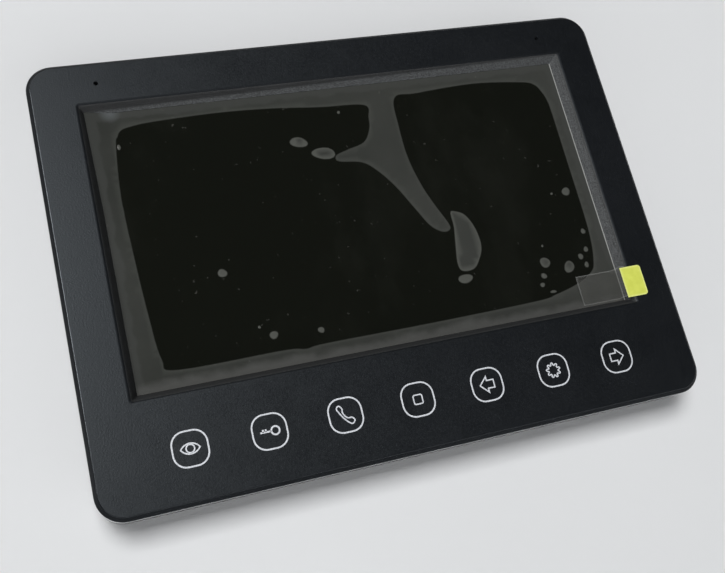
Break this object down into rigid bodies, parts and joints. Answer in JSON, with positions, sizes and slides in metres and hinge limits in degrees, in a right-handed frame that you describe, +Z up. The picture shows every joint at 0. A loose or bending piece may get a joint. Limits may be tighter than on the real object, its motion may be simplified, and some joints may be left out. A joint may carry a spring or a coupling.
{
  "type": "video intercom monitor",
  "caption": "Flat wall-mounted video intercom monitor with a recessed wide display, a row of touch keys and a steel bracket it hooks onto.",
  "frame": {"origin": "middle of the wall bracket's back face, which lies on the wall", "axes": "+X to the right along the panel, +Y from the viewer into the wall, +Z up"},
  "size_m": [0.188, 0.0171, 0.136],
  "materials": {
    "fascia_plastic": "fine moulded texture, satin black",
    "cover_plastic": "spark-eroded texture, black",
    "zinc_steel": "zinc-plated sheet, faint spangle",
    "film": "thin clear film, cloudy where it has lifted",
    "clear_tape": "thin clear tape",
    "tab_plastic": "yellow-green translucent film",
    "display_glass": "polished, nearly black",
    "acrylic": "clear",
    "emitter": "small moulded package",
    "plated_steel": "tin-plated sheet",
    "screw_steel": "zinc-plated",
    "polyimide": "amber flexible circuit",
    "green_board": "solder mask over glass fibre",
    "black_board": "black solder mask",
    "chip_epoxy": "moulded epoxy",
    "ferrite": "sintered, dark grey",
    "can_aluminium": "satin",
    "cell_steel": "polished nickel plating",
    "black_nylon": "moulded",
    "ivory_nylon": "moulded",
    "red_nylon": "moulded",
    "gold_plate": "thin gold flash",
    "knob_plastic": "moulded",
    "dark_foam": "closed-cell foam",
    "white_flex": "flat ribbon cable",
    "black_rubber": "soft, matte",
    "black_wire": "soft sleeve",
    "red_wire": "soft sleeve",
    "black_steel": "black paint",
    "paper_cone": "pressed paper",
    "key_ink": "thin screen-printed white ink",
    "blank_label": "blank foil label"
  },
  "bodies": {
    "bracket": {"wall_bracket": "zinc_steel"},
    "monitor": {"front_panel": "fascia_plastic", "rear_cover": "cover_plastic", "protective_film": "film", "tab_tape": "clear_tape", "pull_tab": "tab_plastic", "lcd_glass": "display_glass", "light_guide": "acrylic", "backlight_leds": "emitter", "backlight_tray": "plated_steel", "lcd_clips": "plated_steel", "clip_screws": "screw_steel", "lcd_flex": "polyimide", "main_board": "green_board", "processor": "chip_epoxy", "memory_chip": "chip_epoxy", "shield_can": "plated_steel", "inductors": "ferrite", "capacitors": "can_aluminium", "coin_cell": "cell_steel", "cell_holder": "black_nylon", "lcd_connector": "ivory_nylon", "board_screws": "screw_steel", "door_headers": "ivory_nylon", "power_header": "red_nylon", "header_pins": "gold_plate", "sd_socket": "plated_steel", "switch_body": "black_nylon", "reset_switch": "plated_steel", "touch_board": "black_board", "touch_electrodes": "dark_foam", "key_leds": "emitter", "touch_controller": "chip_epoxy", "touch_ribbon": "white_flex", "touch_screws": "screw_steel", "mic_capsule": "can_aluminium", "mic_boot": "black_rubber", "mic_wires": "black_wire", "light_pipe": "acrylic", "status_led": "emitter", "led_board": "green_board", "led_wires": "red_wire", "speaker_frame": "black_steel", "speaker_cone": "paper_cone", "speaker_magnet": "plated_steel", "speaker_gasket": "dark_foam", "speaker_wires": "red_wire", "cover_screws": "screw_steel", "wall_pads": "black_rubber", "rating_label": "blank_label"},
    "slider": {"power_slider": "knob_plastic"},
    "plunger": {"reset_plunger": "knob_plastic"}
  },
  "joints": [
    {"name": "lift_off", "type": "slide", "parent": "bracket", "child": "monitor", "axis": [0, 0, 1], "range_m": [0, 0.005]},
    {"name": "power_slide", "type": "slide", "parent": "monitor", "child": "slider", "axis": [0, 0, 1], "range_m": [0, 0.0025]},
    {"name": "reset_press", "type": "slide", "parent": "monitor", "child": "plunger", "axis": [0, -1, 0], "range_m": [0, 0.0003], "stiffness_N_per_m": 3000}
  ]
}
